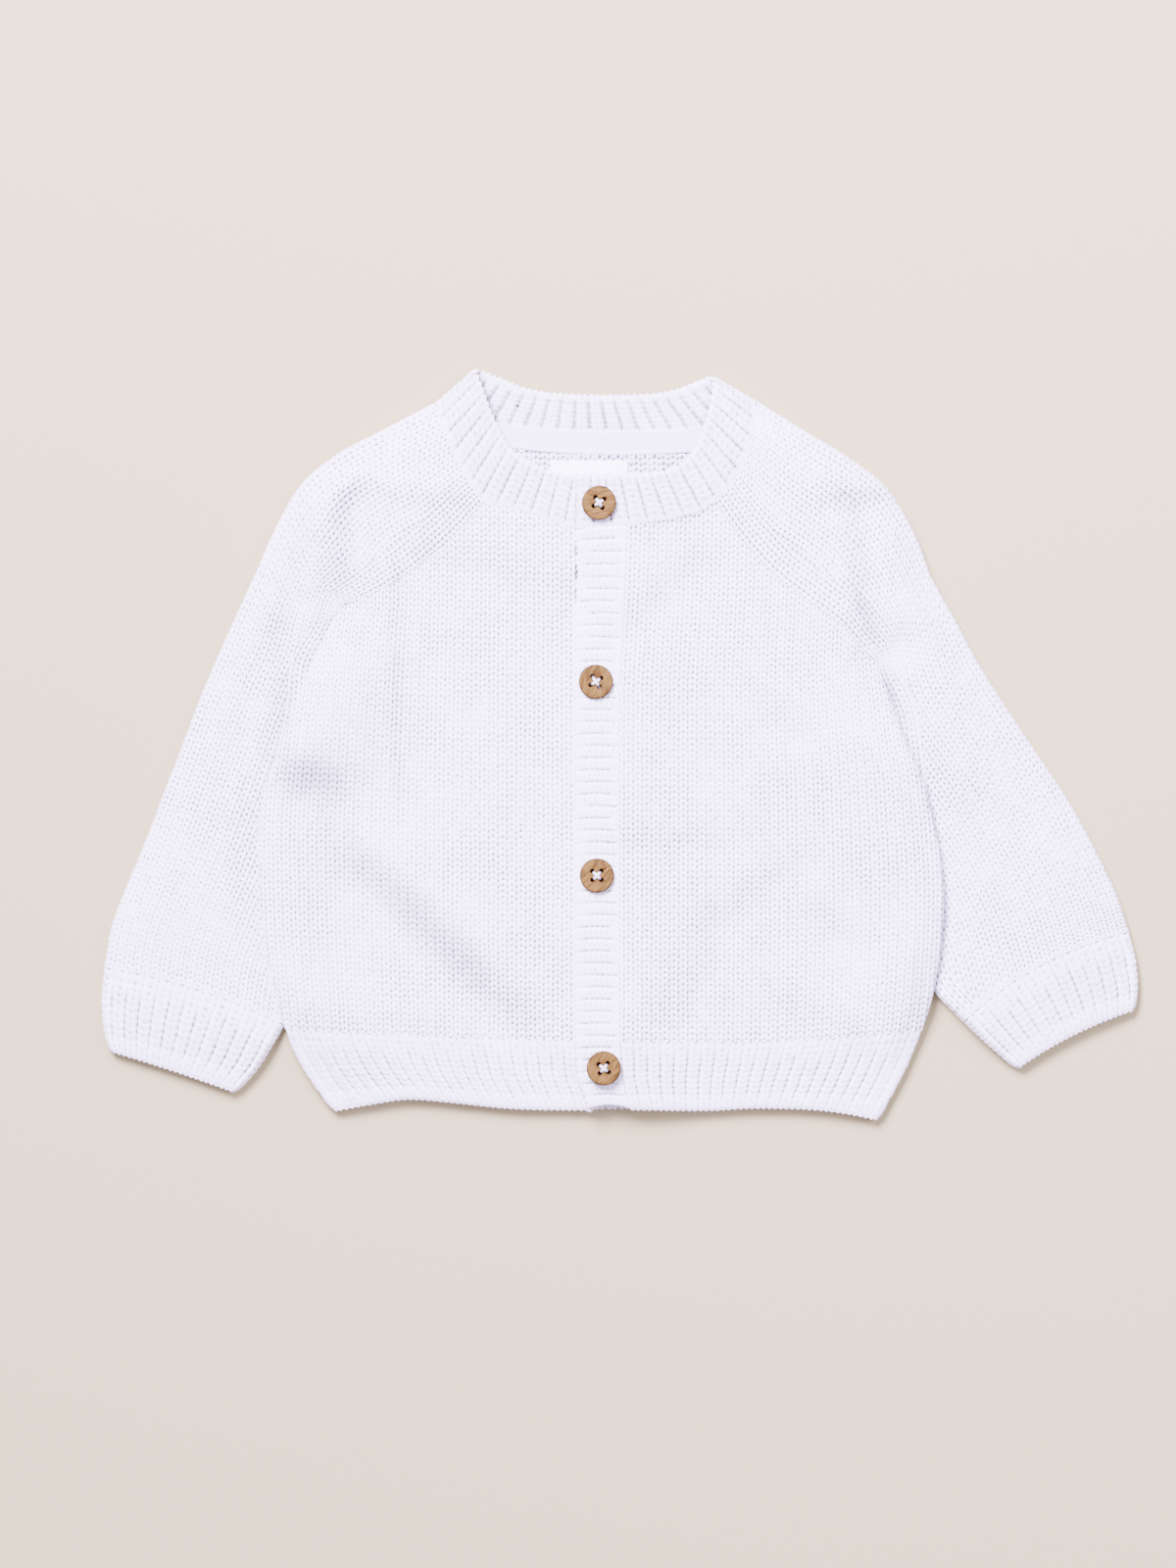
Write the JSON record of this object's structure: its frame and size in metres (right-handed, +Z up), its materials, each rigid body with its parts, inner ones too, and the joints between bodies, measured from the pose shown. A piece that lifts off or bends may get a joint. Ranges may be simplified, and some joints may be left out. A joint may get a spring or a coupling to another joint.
{
  "type": "baby cardigan",
  "caption": "Knitted baby cardigan laid flat and buttoned up, with raglan sleeves, ribbed neckband, hem and cuffs, button bands and round wooden buttons.",
  "frame": {"origin": "centre of the box round the cardigan, at the level of the surface it lies on", "axes": "+X across the chest to the wearer's left, +Y from the hem to the neck, +Z up from the surface, out of the front"},
  "size_m": [0.3969, 0.2882, 0.0137],
  "materials": {
    "cotton": "matte cotton knit",
    "tape": "fine smooth cotton knit",
    "label": "woven satin, plain",
    "wood": "smooth unvarnished wood"
  },
  "bodies": {
    "root": {"back": "cotton", "hem_back": "cotton", "front_right": "cotton", "front_left": "cotton", "hem_front_right": "cotton", "hem_front_left": "cotton", "sleeve_right": "cotton", "sleeve_left": "cotton", "cuff_right": "cotton", "cuff_left": "cotton", "neckband": "cotton", "button_band": "cotton", "buttonhole_band": "cotton", "neck_tape": "tape", "label": "label", "button_1": "wood", "button_2": "wood", "button_3": "wood", "button_4": "wood"}
  },
  "joints": []
}
